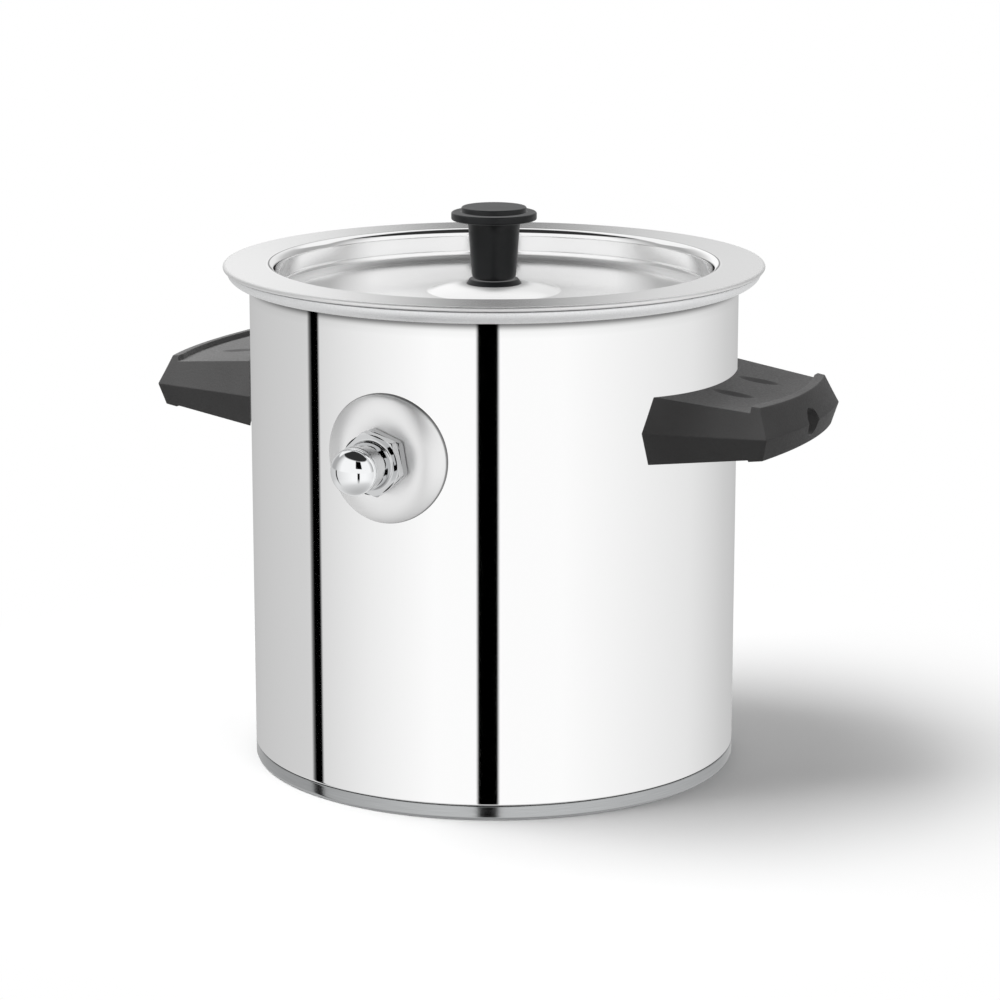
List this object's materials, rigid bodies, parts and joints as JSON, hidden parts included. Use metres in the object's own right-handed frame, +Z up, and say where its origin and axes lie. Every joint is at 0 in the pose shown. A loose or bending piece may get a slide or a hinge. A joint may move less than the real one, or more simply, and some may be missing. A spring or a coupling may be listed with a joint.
{
  "type": "milk boiler",
  "caption": "Straight double-walled steel milk boiler with a water jacket, screw-on whistle port, moulded side handles and a dished lid with a knob.",
  "frame": {"origin": "middle of the flat underside, on the pot's axis", "axes": "+Z up along the pot's axis, -Y out through the whistle port, +X and -X out along the side handles"},
  "size_m": [0.2098, 0.1828, 0.1719],
  "materials": {
    "mirror_steel": "polished",
    "satin_steel": "satin",
    "base_steel": "satin",
    "chrome_plate": "polished",
    "screw_steel": "satin",
    "aluminium_core": "matte",
    "brass": "satin",
    "bakelite": "matte",
    "knob_black": "satin",
    "rubber": "matte"
  },
  "bodies": {
    "vessel": {"base_cap": "base_steel", "base_core": "aluminium_core", "outer_shell": "mirror_steel", "inner_pot": "satin_steel", "inlet_nozzle": "brass", "nozzle_gasket": "rubber", "escutcheon": "mirror_steel", "lock_nut": "chrome_plate", "handle_right": "bakelite", "handle_bracket_right": "screw_steel", "handle_washer_right": "screw_steel", "handle_screw_right": "screw_steel", "handle_left": "bakelite", "handle_bracket_left": "screw_steel", "handle_washer_left": "screw_steel", "handle_screw_left": "screw_steel"},
    "lid": {"lid_pan": "mirror_steel", "knob_collar": "knob_black", "lid_knob": "knob_black", "knob_insert": "brass", "knob_washer": "screw_steel", "knob_screw": "screw_steel"},
    "whistle_seal": {"whistle_gasket": "rubber"},
    "whistle": {"whistle_body": "chrome_plate", "whistle_disc_inner": "brass", "whistle_disc_outer": "brass", "whistle_cap": "chrome_plate"}
  },
  "joints": [
    {"name": "lid_lift", "type": "slide", "parent": "vessel", "child": "lid", "axis": [0, 0, 1], "range_m": [0, 0.08]},
    {"name": "whistle_travel", "type": "slide", "parent": "vessel", "child": "whistle_seal", "axis": [0, -1, 0], "range_m": [0, 0.0075]},
    {"name": "whistle_unscrew", "type": "hinge", "parent": "whistle_seal", "child": "whistle", "pos_m": [0, -0.0815, 0.108], "axis": [0, -1, 0], "range_deg": [0, 1800]}
  ],
  "couplings": [
    {"joint": "whistle_unscrew", "follows": "whistle_travel", "rad_per_m": 4188.8}
  ]
}
